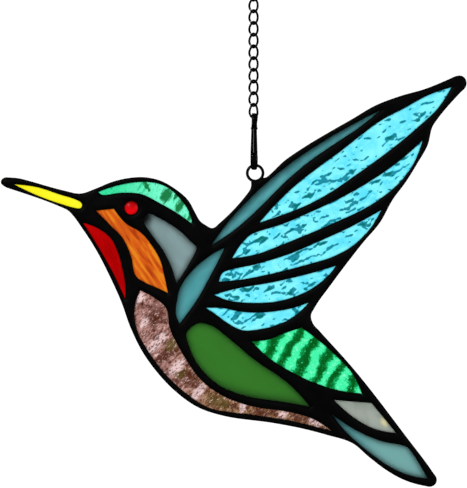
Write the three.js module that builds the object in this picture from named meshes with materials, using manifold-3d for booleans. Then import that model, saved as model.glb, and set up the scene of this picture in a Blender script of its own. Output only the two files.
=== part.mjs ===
// A stained glass suncatcher: a hummingbird of glass panes held in soldered came, hung from a
// curb chain with a snap hook at each end. Millimetres, +Z up, the bird's face towards -Y.
// The origin is the point where the upper hook bears on whatever holds the suncatcher up.
import * as THREE from "three";
import { mergeVertices } from "three/addons/utils/BufferGeometryUtils.js";
import Module from "manifold-3d";

const wasm = await Module();
wasm.setup();

// Came and glass.
const cameThickness = 5;
const rimChamfer = 0.6; // along the outside of the bird
const openingChamfer = 0.4; // around each pane, on both faces
const glassThickness = 2.6;
const glassLap = 0.5; // how far a pane reaches into the came beyond its visible outline
const grooveGap = 0.25; // between a pane and its groove, at the edge and on both faces
const facetSag = 0.17; // how far a flat facet may cut inside its true curve
const hookFacetSag = 0.1; // finer on the snap hooks, which bear on the ring and the chain

// Hanging ring, in the bird's X-Z coordinates.
const ringCentre = [0.22, -0.14];
const ringWire = 1.04;
const ringMeanRadius = 3.23;
const ringGap = 0.2; // between the ring and its seat in the solder
const ringSides = 8; // round the wire
const ringFacets = 24; // round the ring

// Snap hooks: a flat casting that stands in the Y-Z plane, with its eye at the top.
const hookBow = 1.05; // metal at the foot of the hook
const bowToRing = 0.42; // under the ring's wire, where the bow's two edges carry it
const castingChamfer = 0.4;
const hookEye = { z: 20.7, outer: 2.8, hole: 1.45, sides: 16 };
const hookPivot = { y: -1.35, z: 17 };
const hookPin = { radius: 0.42, bore: 0.48, head: 0.75, headThickness: 0.2, headGap: 0.06, sides: 10 };
const gate = { width: 1.2, chamfer: 0.15, knuckle: 1.05, from: -0.35, to: Math.PI + 0.1 };
const gateSlot = { width: 1.45, front: -4.1, back: -0.1, bottom: 14, top: 18.3 };
// How wide the casting is across its flat sides, at each height.
const hookWidths = [
  [0, 2.3],
  [2, 2.9],
  [6, 3.05],
  [14, 2.45],
  [17, 2.3],
  [19.4, 1.6],
  [20.7, 1.3],
  [23.5, 1.2],
];

// Curb chain.
const linkCount = 12;
const linkPitch = 4.8;
const linkWire = 0.8;
const linkGap = 0.14; // between two links where one hangs in the other
const linkHalfWidth = 1.72; // to the middle of the wire
const linkTwist = THREE.MathUtils.degToRad(43); // each end of a link, either way from its middle
const linkToEye = 0.35; // over the link's wire, where the eye's two edges bear on it
const linkSeamAt = THREE.MathUtils.degToRad(215); // where the wire's two ends meet
const linkSeam = 0.12; // half the open angle between them, in radians
const linkFullness = 0.6; // how much the right side swells into its corners
const linkHollow = 0.15; // and how much the left side draws in
const linkSag = 0.25; // of the left side's widest point, below the middle
const linkSides = 6; // round the wire
const linkSteps = 14; // along it

// Heights along the hang line, in the bird's coordinates.
const linkHalfLength = (linkPitch + linkWire + linkGap) / 2;
const hangLineX = -0.45;
const lowerHookX = -0.2;
const lowerHookFoot = ringCentre[1] + ringMeanRadius - ringWire / 2 - hookBow - bowToRing;
const eyeToLink = hookEye.z + hookEye.hole - linkWire / 2 - linkToEye; // from a hook's foot
const firstLinkZ = lowerHookFoot + eyeToLink + linkHalfLength;
const lastLinkZ = firstLinkZ + (linkCount - 1) * linkPitch;
const upperHookTop = lastLinkZ + linkHalfLength + eyeToLink;
const hangPointZ = upperHookTop - hookBow;

const glass = (color, roughness, opacity) => ({
  color, roughness, metalness: 0, transparent: true, opacity,
});
const finishes = {
  came: { color: 0x0b0b0c, roughness: 0.55, metalness: 0.6 },
  hardware: { color: 0x0c0c0d, roughness: 0.4, metalness: 0.7 },
  yellow: glass(0xf8f01e, 0.15, 0.8),
  mint: glass(0x5fe8b4, 0.2, 0.75),
  red: glass(0xc20003, 0.15, 0.8),
  orange: glass(0xe4660c, 0.2, 0.85),
  grey: glass(0x82918f, 0.25, 0.9),
  teal: glass(0x5fa5a8, 0.25, 0.9),
  cyan: glass(0x5ce6fa, 0.2, 0.7),
  pink: glass(0xb58b85, 0.3, 0.85),
  opalGreen: glass(0x3a8228, 0.25, 0.9),
  emerald: glass(0x12c868, 0.2, 0.75),
  pearl: glass(0xa5afa5, 0.25, 0.9),
};

// Visible outline of each pane, as [X, Z]: a starting corner, then one list per edge with the
// points that the edge runs through, the last of them its far corner.
const panes = {
  glass_beak: {
    finish: "yellow",
    start: [-98.5, -4.8],
    edges: [
      [[-94.3, -5], [-88, -6.3], [-79.9, -9], [-71.5, -12]],
      [[-70.7, -13.3], [-71.5, -14.6]],
      [[-78, -13.2], [-85.9, -10.4], [-92, -8], [-98.5, -4.8]],
    ],
  },
  glass_crown: {
    finish: "mint",
    start: [-64, -7.9],
    edges: [
      [[-57, -5.5], [-49, -4], [-41.6, -4.1], [-36, -5.9], [-30.5, -10.8], [-26.5, -16.8], [-25.5, -21]],
      [[-28.1, -19.2], [-32.6, -16], [-39.3, -12.2], [-46.3, -8.8], [-54.7, -8.2], [-62.6, -9]],
      [[-64, -7.9]],
    ],
  },
  glass_face: {
    finish: "orange",
    start: [-65, -15.6],
    edges: [
      [[-61.7, -15], [-57.7, -14.8]],
      [[-56.5, -16.2], [-54.7, -18.5], [-52.6, -20.9]],
      [[-48, -23.3], [-45.3, -26.2], [-42, -30], [-39.5, -34], [-37.8, -38.9], [-35.5, -49.3]],
      [[-40.7, -46.8], [-46.9, -44], [-48.8, -42]],
      [[-50, -36.6], [-52.6, -28.8], [-59.3, -21.3], [-65, -15.6]],
    ],
  },
  glass_throat: {
    finish: "red",
    start: [-70.3, -20.5],
    edges: [
      [[-65.9, -22], [-61.2, -24.8], [-58.2, -28], [-56.3, -32], [-54.3, -39], [-52.9, -46.7], [-53, -51.8]],
      [[-54.2, -49.1], [-58.4, -40.2], [-64, -30.4], [-67.7, -24.8], [-70.3, -20.5]],
    ],
  },
  glass_cheek: {
    finish: "grey",
    start: [-45.8, -19.3],
    edges: [
      [[-45.3, -17.4], [-43.2, -16.8], [-40.6, -17.9], [-36.3, -20.1], [-29.8, -24.6], [-23.7, -31.1]],
      [[-27.6, -37.6], [-32, -45.4]],
      [[-33.7, -39.4], [-37.6, -31.6], [-42.3, -25.1], [-45.8, -19.3]],
    ],
  },
  glass_shoulder: {
    finish: "teal",
    start: [-12.2, -30.7],
    edges: [
      [[-18.5, -34.2], [-25.5, -40.2], [-30.2, -46.7], [-31.9, -53.2], [-32.2, -59.7], [-30.8, -61.9]],
      [[-26.8, -57.1], [-21.1, -47.6], [-15.9, -38], [-12.2, -30.7]],
    ],
  },
  glass_wing_edge: {
    finish: "teal",
    start: [-17.75, -29.8],
    edges: [
      [[-14.5, -24.4], [-8.1, -17.2], [-0.4, -9.1], [6.6, -2.6], [15, 3.9], [24.8, 10.9], [38.6, 18.5],
        [52.1, 25.9]],
      [[45.1, 20.4], [37.6, 14.8], [27, 8.1], [16.2, -0.4], [5.8, -10.3], [-3.1, -19.6], [-8.5, -23.4],
        [-17.75, -29.8]],
    ],
  },
  glass_feather_1: {
    finish: "cyan",
    start: [2.1, -20.4],
    edges: [
      [[7.7, -14], [17, -5.1], [27.4, 3], [38.5, 11.1], [50, 20.2], [64.7, 28.1], [75, 33.7], [80.7, 35.1]],
      [[79.2, 31], [74.9, 26.2], [67, 18.8], [56.3, 9.9], [43.2, 0.3], [30, -8.7], [18.1, -14.7],
        [2.1, -20.4]],
    ],
  },
  glass_feather_2: {
    finish: "cyan",
    start: [-9.1, -35],
    edges: [
      [[-5.8, -30.2], [-3, -26.3], [-1.2, -25.3]],
      [[6.9, -23], [18.5, -18], [30.1, -13], [44.4, -5.4], [59, 4.5], [68.9, 13.2]],
      [[66.2, 6], [61.2, -2.1], [50.2, -11.6], [40, -17.1], [28.3, -22.4], [16.6, -27.3], [5, -31.9],
        [-3, -34.4], [-9.1, -35]],
    ],
  },
  glass_feather_3: {
    finish: "cyan",
    start: [-14.6, -44.6],
    edges: [
      [[-12.6, -40.7]],
      [[-4.7, -38.7], [5, -36.4], [17, -32.3], [30.1, -26.5], [44, -20], [52, -15.3]],
      [[49.7, -19.3], [43.7, -27], [34, -33.6], [20.5, -37.9], [5, -41.8], [-5, -43.7], [-14.6, -44.6]],
    ],
  },
  glass_feather_4: {
    finish: "cyan",
    start: [-16.6, -50],
    edges: [
      [[-14.4, -49], [-4.8, -47.1], [10, -44.4], [24.3, -40.9], [33.3, -38.2]],
      [[31.1, -41.3], [26, -45.7], [20, -49.3], [10, -52.6], [-2, -53.3], [-12.2, -52], [-16.6, -50]],
    ],
  },
  glass_feather_5: {
    finish: "cyan",
    start: [-19.9, -55.4],
    edges: [
      [[-14.4, -55.3], [-4.8, -57.1], [4.9, -57.2], [15.1, -55.6], [22.2, -53.2]],
      [[17.2, -58.1], [9.8, -62.2], [0, -64.4], [-7, -64], [-13.6, -59.6], [-19.9, -55.4]],
    ],
  },
  glass_belly: {
    finish: "pink",
    start: [-46.9, -48.2],
    edges: [
      [[-49.2, -55.5], [-47.9, -65], [-42.9, -74.1], [-36, -83.1], [-26.4, -91.7], [-16.8, -96.9], [0, -99.3],
        [16, -101.9], [31.6, -105.8]],
      [[24.1, -101], [14, -98], [2, -96.3], [-10, -92.9], [-20.8, -86.1], [-28, -76.7], [-34.4, -64.7],
        [-36.1, -55.8]],
      [[-39.3, -52.6], [-42.8, -50.2], [-46.9, -48.2]],
    ],
  },
  glass_body: {
    finish: "opalGreen",
    start: [22.8, -95.9],
    edges: [
      [[12, -93.9], [-2.4, -91.7], [-14.4, -87.1], [-23.2, -78.5], [-27.8, -68], [-26.8, -63.9],
        [-22.4, -61.5], [-17.6, -62.7], [-10, -68.3], [0, -76.7], [12, -84.9], [19.2, -91.7],
        [22.8, -95.9]],
    ],
  },
  glass_rump: {
    finish: "emerald",
    start: [-1.4, -69.1],
    edges: [
      [[6, -68.3], [12, -65.9], [19.2, -63.5]],
      [[23.6, -66.6], [32.7, -74.4], [40.3, -82.8], [44, -90.6]],
      [[32.2, -88.6], [21, -84.5], [7.9, -77.4], [-1.4, -69.1]],
    ],
  },
  glass_tail_upper: {
    finish: "pearl",
    start: [32.5, -93.1],
    edges: [
      [[39.3, -93.5], [47.9, -94.4]],
      [[53, -100.2], [57.9, -106.6]],
      [[50.4, -105.3], [43.3, -102], [36.8, -97.2], [32.5, -93.1]],
    ],
  },
  glass_tail_lower: {
    finish: "teal",
    start: [31.7, -99],
    edges: [
      [[37.3, -102.8], [43.8, -106.8], [51.4, -109.8], [62.6, -112.4]],
      [[66.6, -118], [70.9, -125.4]],
      [[60.6, -123], [52.5, -118.5], [42.8, -111.1], [35.2, -103.8], [31.7, -99]],
    ],
  },
};
const eyePane = { centre: [-50.5, -14.4], radius: 2.8, dome: 0.9, domeSteps: 3, sides: 18 };

// The bird's outer outline, from under the beak round its tip and over the head to the lug that
// carries the hanging ring, then on from the ring round the wing and tail and back along the belly.
const headOutline = {
  start: [-98.1, -7.3],
  edges: [
    [[-101.8, -6], [-103.8, -4.5], [-103.7, -2.9], [-102.2, -2], [-97.9, -2.1]],
    [[-91, -3.7], [-84.5, -5.6], [-78, -7.3], [-72.4, -8.5], [-68, -7.8], [-62, -5.1], [-55, -2.8],
      [-47, -1.8], [-40, -2.7], [-33.2, -6.2], [-28.1, -10.1], [-24, -17]],
    [[-22.3, -19.8], [-20.1, -21.4], [-17.3, -22.7], [-14.7, -20.9]],
    [[-8.5, -14], [-2.5, -7.9]],
    [[-1.5, -6.4], [-1.35, -4.9]],
  ],
};
const bodyOutline = [
  [[4.2, -2.2]],
  [[10, 3.3], [17, 8.1], [24.5, 13.2], [34.8, 19], [45.1, 25], [54.4, 30.2], [60, 31.5], [70, 34.4],
    [80, 38.5]],
  [[82.6, 39.6], [85, 39.6], [86.6, 37.8], [86.5, 35.2], [84.5, 33]],
  [[78.7, 26], [73.2, 19.5]],
  [[71.2, 12], [67.5, 5.2], [61.9, -3.9], [56.7, -10.9]],
  [[51.6, -20.1], [44, -29.2], [38.4, -36.3], [34.4, -42], [28.3, -49.7], [24.7, -55.2]],
  [[23.3, -57.8], [23.1, -60], [24.3, -62.3], [26.5, -64.7]],
  [[33.2, -72.4], [40, -79.7], [48.4, -90.6], [55.5, -99.7], [65.6, -112.6], [73.2, -123]],
  [[74.6, -125.3], [74.2, -127.3], [72.2, -128.6], [69.7, -128.3]],
  [[63.1, -126.6], [56.5, -123.5], [49.4, -118.5], [40, -110.8]],
  [[34.2, -108.6], [26.1, -106.6], [16, -104], [4, -102], [-8, -100.3], [-16, -98.9], [-22.4, -96.5],
    [-28.8, -92.7], [-35.2, -86.9], [-40, -81.7], [-45.1, -74.8], [-50.1, -65.3], [-53.6, -55.4],
    [-57.9, -45.6], [-62.1, -36.7], [-66, -30], [-70, -23.7], [-76.5, -15.4]],
  [[-82.7, -12.7], [-90, -10], [-98.1, -7.3]],
];
// The ring's seat: an arc about the ring's centre, from the lug's left side to the wing.
const seatArc = [THREE.MathUtils.degToRad(242), THREE.MathUtils.degToRad(328)];

function addEdges(shape, edges) {
  for (const edge of edges) shape.splineThru(edge.map(([x, z]) => new THREE.Vector2(x, z)));
  return shape;
}

// How many equal facets keep within the sag on this curve, from how far it turns in all.
function facetCount(curve, sag) {
  const samples = 24;
  let turning = 0;
  for (let i = 1; i <= samples; i++) {
    turning += curve.getTangent((i - 1) / samples).angleTo(curve.getTangent(i / samples));
  }
  return Math.max(1, Math.round(Math.sqrt((turning * curve.getLength()) / (8 * sag))));
}

// The outline as straight facets, few along gentle edges and more round tight ones.
function facets(shape, sag = facetSag) {
  return shape.curves.flatMap((curve) => curve.getSpacedPoints(facetCount(curve, sag)).slice(0, -1));
}

function circle([x, z], radius, sides) {
  const turn = (2 * Math.PI) / sides;
  return Array.from({ length: sides }, (_, i) =>
    new THREE.Vector2(x + radius * Math.cos(i * turn), z + radius * Math.sin(i * turn)));
}

// A flat plate in the X-Z plane between two depths, its outline grown outwards on all sides.
function plate(points, front, back, grow = 0) {
  return new THREE.ExtrudeGeometry(new THREE.Shape(points), {
    depth: back - front,
    bevelEnabled: grow > 0,
    bevelSegments: 0,
    bevelSize: grow,
    bevelThickness: 0,
  })
    .rotateX(Math.PI / 2)
    .translate(0, back, 0);
}

// A plug that widens outwards by the chamfer, to break the edge of an opening at one face.
function flare(points, chamfer, atBack) {
  const reach = 1; // past the face, so that the cut goes clean through it
  return new THREE.ExtrudeGeometry(new THREE.Shape(points), {
    depth: reach,
    bevelEnabled: true,
    bevelSegments: 1,
    bevelSize: chamfer,
    bevelThickness: chamfer,
  })
    .rotateX(Math.PI / 2)
    .translate(0, atBack ? cameThickness / 2 + reach : -cameThickness / 2, 0);
}

function toSolid(geometry) {
  const bare = new THREE.BufferGeometry().setAttribute("position", geometry.getAttribute("position"));
  bare.setIndex(geometry.index);
  const mergeDistance = 1e-4;
  const merged = mergeVertices(bare, mergeDistance);
  return new wasm.Manifold(new wasm.Mesh({
    numProp: 3,
    vertProperties: new Float32Array(merged.getAttribute("position").array),
    triVerts: new Uint32Array(merged.index.array),
  }));
}

function toGeometry(solid) {
  const { vertProperties, triVerts } = solid.getMesh();
  const geometry = new THREE.BufferGeometry();
  geometry.setAttribute("position", new THREE.BufferAttribute(vertProperties, 3));
  geometry.setIndex(new THREE.BufferAttribute(triVerts, 1));
  geometry.computeVertexNormals();
  return geometry;
}

function piece(name, geometry, finish) {
  const mesh = new THREE.Mesh(geometry, new THREE.MeshStandardMaterial(finishes[finish]));
  mesh.name = name;
  return mesh;
}

// The opening for one pane: a way through, a chamfer at each face and the groove for its edge.
function openingTools(points) {
  const half = cameThickness / 2;
  const groove = glassThickness / 2 + grooveGap;
  return [
    plate(points, -half + openingChamfer / 2, half - openingChamfer / 2),
    flare(points, openingChamfer, false),
    flare(points, openingChamfer, true),
    plate(points, -groove, groove, glassLap + grooveGap),
  ];
}

function ringTorus(wire) {
  return new THREE.TorusGeometry(ringMeanRadius, wire / 2, ringSides, ringFacets)
    .rotateX(Math.PI / 2)
    .translate(ringCentre[0], 0, ringCentre[1]);
}

function came(openings) {
  const outline = new THREE.Shape().moveTo(...headOutline.start);
  addEdges(outline, headOutline.edges);
  outline.absarc(...ringCentre, ringMeanRadius, ...seatArc, false);
  addEdges(outline, bodyOutline);
  const slab = new THREE.ExtrudeGeometry(new THREE.Shape(facets(outline)), {
    depth: cameThickness - 2 * rimChamfer,
    bevelSegments: 1,
    bevelSize: rimChamfer,
    bevelThickness: rimChamfer,
    bevelOffset: -rimChamfer,
  })
    .rotateX(Math.PI / 2)
    .translate(0, cameThickness / 2 - rimChamfer, 0);
  const tools = [...openings.flatMap(openingTools), ringTorus(ringWire + 2 * ringGap)];
  return tools.reduce((solid, tool) => solid.subtract(toSolid(tool)), toSolid(slab));
}

// The eye: a round glass nugget with a flat back, domed towards the front.
function nugget({ centre, radius, dome, domeSteps, sides }) {
  const rim = radius + glassLap;
  const half = glassThickness / 2;
  const domeRadius = radius - grooveGap;
  const profile = [new THREE.Vector2(0, -half), new THREE.Vector2(rim, -half), new THREE.Vector2(rim, half)];
  for (let step = 0; step < domeSteps; step++) {
    const angle = (step / domeSteps) * (Math.PI / 2);
    profile.push(new THREE.Vector2(domeRadius * Math.cos(angle), half + dome * Math.sin(angle)));
  }
  profile.push(new THREE.Vector2(0, half + dome));
  return new THREE.LatheGeometry(profile, sides).rotateX(Math.PI).translate(centre[0], 0, centre[1]);
}

function bird() {
  const group = new THREE.Group();
  const openings = Object.entries(panes).map(([name, { finish, start, edges }]) => {
    const points = facets(addEdges(new THREE.Shape().moveTo(...start), edges));
    const half = glassThickness / 2;
    group.add(piece(name, plate(points, -half, half, glassLap), finish));
    return points;
  });
  openings.push(circle(eyePane.centre, eyePane.radius, eyePane.sides));
  group.add(piece("glass_eye", nugget(eyePane), "red"));
  group.add(piece("solder_came", toGeometry(came(openings)), "came"));
  group.add(piece("hanging_ring", ringTorus(ringWire), "hardware"));
  return group;
}

function hookWidthAt(z) {
  const above = Math.max(1, hookWidths.findIndex(([height]) => height >= z));
  const [z0, w0] = hookWidths[above - 1];
  const [z1, w1] = hookWidths[above];
  return THREE.MathUtils.mapLinear(z, z0, z1, w0, w1);
}

// A profile drawn in Y-Z, extruded along X about the middle plane.
function sideways(shape, width, chamfer, holes = []) {
  const outline = new THREE.Shape(facets(shape, hookFacetSag));
  outline.holes = holes.map((points) => new THREE.Path(points));
  return new THREE.ExtrudeGeometry(outline, {
    depth: width - 2 * chamfer,
    bevelEnabled: chamfer > 0,
    bevelSegments: 1,
    bevelSize: chamfer,
    bevelThickness: chamfer,
    bevelOffset: -chamfer,
  })
    .translate(0, 0, chamfer - width / 2)
    .rotateX(Math.PI / 2)
    .rotateZ(Math.PI / 2);
}

// The casting: a spine with a deep bow at its foot, open towards -Y between nose and neck, and an
// eye at its head. The neck is slotted for the gate.
function hookBody() {
  const neck = { y: 2.35, z: 19.2 }; // where the spine runs into the eye
  const shape = addEdges(new THREE.Shape().moveTo(-4.5, 6.1), [
    [[-4.95, 4.9], [-4.3, 2.5], [-2.5, 0.6], [0, 0], [2.5, 0.6], [4.3, 2.6], [5, 5.6], [4.7, 9.2],
      [3.9, 13], [2.7, 16.8], [neck.y, neck.z]],
  ]);
  const eyeStart = Math.atan2(neck.z - hookEye.z, neck.y);
  shape.absarc(0, hookEye.z, hookEye.outer, eyeStart, Math.PI - eyeStart, false);
  addEdges(shape, [
    [[-2.6, 18.2], [-2.8, 16.9], [-2.2, 15.8], [-0.9, 15.3], [0.7, 14.6]],
    [[2.2, 12], [3.1, 9], [3.4, 5.8], [2.8, 3.2], [1.6, 1.6], [0, hookBow], [-1.6, 1.6], [-2.8, 3.2],
      [-3.3, 5.9]],
    [[-3.8, 6.25], [-4.5, 6.1]],
  ]);
  const fullWidth = Math.max(...hookWidths.map(([, width]) => width));
  const eyeHole = circle([0, hookEye.z], hookEye.hole, hookEye.sides).reverse();
  const casting = sideways(shape, fullWidth, castingChamfer, [eyeHole]);
  const vertices = casting.getAttribute("position");
  for (let i = 0; i < vertices.count; i++) {
    vertices.setX(i, (vertices.getX(i) * hookWidthAt(vertices.getZ(i))) / fullWidth);
  }
  return toGeometry(toSolid(casting).subtract(toSolid(slotCutter())).subtract(toSolid(pinBore())));
}

function slotCutter() {
  const { width, front, back, bottom, top } = gateSlot;
  return new THREE.BoxGeometry(width, back - front, top - bottom)
    .translate(0, (front + back) / 2, (bottom + top) / 2);
}

function pinBore() {
  const throughBoth = 2 * hookWidthAt(hookPivot.z);
  return new THREE.CylinderGeometry(hookPin.bore, hookPin.bore, throughBoth, hookPin.sides)
    .rotateZ(Math.PI / 2)
    .translate(0, hookPivot.y, hookPivot.z);
}

// The gate: a lever from the pin down to the nose, with a round knuckle in the slot.
function hookGate() {
  const { y, z } = hookPivot;
  const heel = [y + gate.knuckle * Math.cos(gate.from), z + gate.knuckle * Math.sin(gate.from)];
  const shape = new THREE.Shape().moveTo(...heel).absarc(y, z, gate.knuckle, gate.from, gate.to, false);
  addEdges(shape, [
    [[-3.2, 13.2], [-4, 10], [-4.5, 6.9]],
    [[-4.1, 6.65], [-3.3, 6.7]],
    [[-2.9, 9.5], [-2.1, 12.6], heel],
  ]);
  return toGeometry(toSolid(sideways(shape, gate.width, gate.chamfer)).subtract(toSolid(pinBore())));
}

// A pin through both cheeks of the neck, its ends riveted over into flat heads.
function rivetedPin() {
  const { radius, head, headThickness, headGap, sides } = hookPin;
  const underHead = hookWidthAt(hookPivot.z) / 2 + headGap;
  const end = underHead + headThickness;
  const profile = [
    [0, -end], [head, -end], [head, -underHead], [radius, -underHead],
    [radius, underHead], [head, underHead], [head, end], [0, end],
  ].map(([across, along]) => new THREE.Vector2(across, along));
  return new THREE.LatheGeometry(profile, sides)
    .rotateZ(-Math.PI / 2)
    .translate(0, hookPivot.y, hookPivot.z);
}

function snapHook(name) {
  const hook = new THREE.Group();
  hook.add(piece(`${name}_body`, hookBody(), "hardware"));
  hook.add(piece(`${name}_gate`, hookGate(), "hardware"));
  hook.add(piece(`${name}_pin`, rivetedPin(), "hardware"));
  return hook;
}

// One link's wire: an oval with a fuller right side, twisted about its length from one end to the
// other so that neighbours cross, and open at a fine seam low on its left side.
class LinkWire extends THREE.Curve {
  constructor(lowTwist, highTwist) {
    super();
    Object.assign(this, { lowTwist, highTwist });
  }
  getPoint(t, target = new THREE.Vector3()) {
    const angle = linkSeamAt + linkSeam + t * (2 * Math.PI - 2 * linkSeam);
    const along = Math.sin(angle);
    const across = Math.cos(angle);
    const fullness = across > 0 ? Math.sqrt(1 + linkFullness * along ** 2) : 1 - linkHollow * along ** 2;
    const sag = across < 0 ? linkSag * across ** 2 : 0;
    const twist = THREE.MathUtils.lerp(this.lowTwist, this.highTwist, (1 + along) / 2);
    const out = linkHalfWidth * across * fullness;
    return target.set(out * Math.cos(twist), out * Math.sin(twist), linkHalfLength * along - sag);
  }
}

function chainLink(index) {
  const lowTwist = index === 0 ? 0 : -linkTwist; // the end links pass through the hooks' eyes square
  const highTwist = index === linkCount - 1 ? 0 : linkTwist;
  const section = new THREE.Shape(circle([0, 0], linkWire / 2, linkSides));
  const link = new THREE.ExtrudeGeometry(section, {
    steps: linkSteps,
    extrudePath: new LinkWire(lowTwist, highTwist),
  });
  return piece(`chain_link_${String(index + 1).padStart(2, "0")}`, link, "hardware");
}

function suncatcher() {
  const hanging = new THREE.Group();
  hanging.position.set(-hangLineX, 0, -hangPointZ);
  hanging.add(bird());
  const lowerHook = snapHook("lower_hook");
  lowerHook.position.set(lowerHookX, 0, lowerHookFoot);
  hanging.add(lowerHook);
  for (let i = 0; i < linkCount; i++) {
    const link = chainLink(i);
    link.position.set(hangLineX, 0, firstLinkZ + i * linkPitch);
    hanging.add(link);
  }
  const upperHook = snapHook("upper_hook");
  upperHook.position.set(hangLineX, 0, upperHookTop);
  upperHook.rotation.y = Math.PI;
  hanging.add(upperHook);
  const whole = new THREE.Group();
  whole.add(hanging);
  return whole;
}

export default suncatcher();
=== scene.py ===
import math

import bmesh
import bpy
from mathutils import Matrix, Vector, noise
from mathutils.geometry import delaunay_2d_cdt
from mathutils.kdtree import KDTree


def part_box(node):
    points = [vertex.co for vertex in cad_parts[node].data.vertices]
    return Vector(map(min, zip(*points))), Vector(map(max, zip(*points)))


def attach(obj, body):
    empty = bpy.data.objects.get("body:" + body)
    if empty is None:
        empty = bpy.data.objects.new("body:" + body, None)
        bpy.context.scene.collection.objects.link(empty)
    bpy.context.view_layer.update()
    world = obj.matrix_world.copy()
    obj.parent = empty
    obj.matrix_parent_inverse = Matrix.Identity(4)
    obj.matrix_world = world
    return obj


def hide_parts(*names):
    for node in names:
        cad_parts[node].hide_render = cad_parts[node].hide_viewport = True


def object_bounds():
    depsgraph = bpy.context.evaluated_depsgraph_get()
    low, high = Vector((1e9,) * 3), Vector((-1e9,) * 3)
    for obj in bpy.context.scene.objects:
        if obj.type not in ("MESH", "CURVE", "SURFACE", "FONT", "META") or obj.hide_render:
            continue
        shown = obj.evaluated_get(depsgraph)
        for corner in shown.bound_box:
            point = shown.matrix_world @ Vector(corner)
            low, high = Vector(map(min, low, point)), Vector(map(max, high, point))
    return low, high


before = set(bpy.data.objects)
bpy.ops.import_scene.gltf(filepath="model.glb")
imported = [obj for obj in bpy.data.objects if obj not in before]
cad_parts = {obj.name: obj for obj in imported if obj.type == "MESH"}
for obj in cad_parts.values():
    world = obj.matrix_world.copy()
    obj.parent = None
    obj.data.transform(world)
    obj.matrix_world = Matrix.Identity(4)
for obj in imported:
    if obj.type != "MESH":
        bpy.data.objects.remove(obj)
cadLow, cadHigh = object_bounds()
mm = 0.001
print("frame loaded:", len(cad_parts), "nodes")


# Colours, nodes and pieces

def linearColour(hexColour):
    # sRGB hex to the linear values that the shaders want
    shades = [int(hexColour[i:i + 2], 16) / 255 for i in (1, 3, 5)]
    return [s / 12.92 if s <= 0.04045 else ((s + 0.055) / 1.055) ** 2.4 for s in shades] + [1.0]


def addNode(tree, kind, settings=None, links=None):
    # one node, its settings (attributes or sockets) and what feeds its sockets
    node = tree.nodes.new(kind)
    for name, value in (settings or {}).items():
        if isinstance(name, int) or name in node.inputs:
            node.inputs[name].default_value = value
        else:
            setattr(node, name, value)
    for name, output in (links or {}).items():
        tree.links.new(output, node.inputs[name])
    return node


def newMaterial(name):
    material = bpy.data.materials.new(name)
    material.use_nodes = True
    tree = material.node_tree
    tree.nodes.clear()
    shader = addNode(tree, "ShaderNodeBsdfPrincipled")
    addNode(tree, "ShaderNodeOutputMaterial", links={"Surface": shader.outputs["BSDF"]})
    return material, tree, shader


def finishPiece(name, mesh, material, body, slot, *nodes):
    # a finished mesh becomes a piece that stands for CAD nodes and moves with their body
    mesh.name = name
    for polygon in mesh.polygons:
        polygon.use_smooth = True
    mesh.set_sharp_from_angle(angle=math.radians(48))
    mesh.materials.clear()
    mesh.materials.append(material)
    piece = bpy.data.objects.new(name, mesh)
    bpy.context.scene.collection.objects.link(piece)
    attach(piece, body)
    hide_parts(*nodes)
    return piece


def toMesh(shape):
    mesh = bpy.data.meshes.new("shape")
    shape.to_mesh(mesh)
    shape.free()
    return mesh


# Outlines: read off the CAD solids, then meshed as flat sheets

outlining = {
    "straightTurn": math.radians(0.4),    # joints that turn less are left out
    "facetSag": 0.3 * mm,                 # how far a curve may bulge past the CAD's facets
    "sharpTurn": math.radians(100),       # a joint that turns more is a real corner
    "cornerTurn": math.radians(45),       # so is one that turns more than this, alone between
    "cornerSide": 5 * mm,                 # sides longer than this
    "bulge": 0.148,                       # a side's bulge for each radian its end turns, in lengths
    "rounds": 40, "draw": 0.5, "pushBack": -0.51,
}


def mergedCopy(node):
    # the CAD node's mesh with its loose triangles joined up
    shape = bmesh.new()
    shape.from_mesh(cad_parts[node].data)
    bmesh.ops.remove_doubles(shape, verts=shape.verts, dist=0.002 * mm)
    return shape


def outlineLoops(node, level):
    # closed outlines where a plane across Y cuts the node, as facet joints in X and Z
    shape = mergedCopy(node)
    cut = bmesh.ops.bisect_plane(shape, geom=shape.verts[:] + shape.edges[:] + shape.faces[:],
                                 plane_co=(0, level, 0), plane_no=(0, 1, 0))
    waiting = dict.fromkeys(e for e in cut["geom_cut"] if isinstance(e, bmesh.types.BMEdge))
    loops = []
    while waiting:
        edge = next(iter(waiting))
        start, vert = edge.verts
        loop = [start.co.xz]
        del waiting[edge]
        while vert is not start:
            loop.append(vert.co.xz)
            edge = next(e for e in vert.link_edges if e in waiting)
            del waiting[edge]
            vert = edge.other_vert(vert)
        count = len(loop)
        loops.append([p for i, p in enumerate(loop)
                      if (p - loop[i - 1]).angle(loop[(i + 1) % count] - p, 0) > outlining["straightTurn"]])
    shape.free()
    return loops


def realCorners(sides):
    # which joints between these sides are real corners, and not facets of a curve
    count = len(sides)
    turns = [sides[i - 1].angle(sides[i], 0) for i in range(count)]
    bent = [outlining["cornerTurn"] < turn < outlining["sharpTurn"] for turn in turns]
    return [turns[i] >= outlining["sharpTurn"]
            or (bent[i] and not bent[i - 1] and not bent[(i + 1) % count]
                and min(sides[i - 1].length, sides[i].length) > outlining["cornerSide"])
            for i in range(count)]


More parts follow.
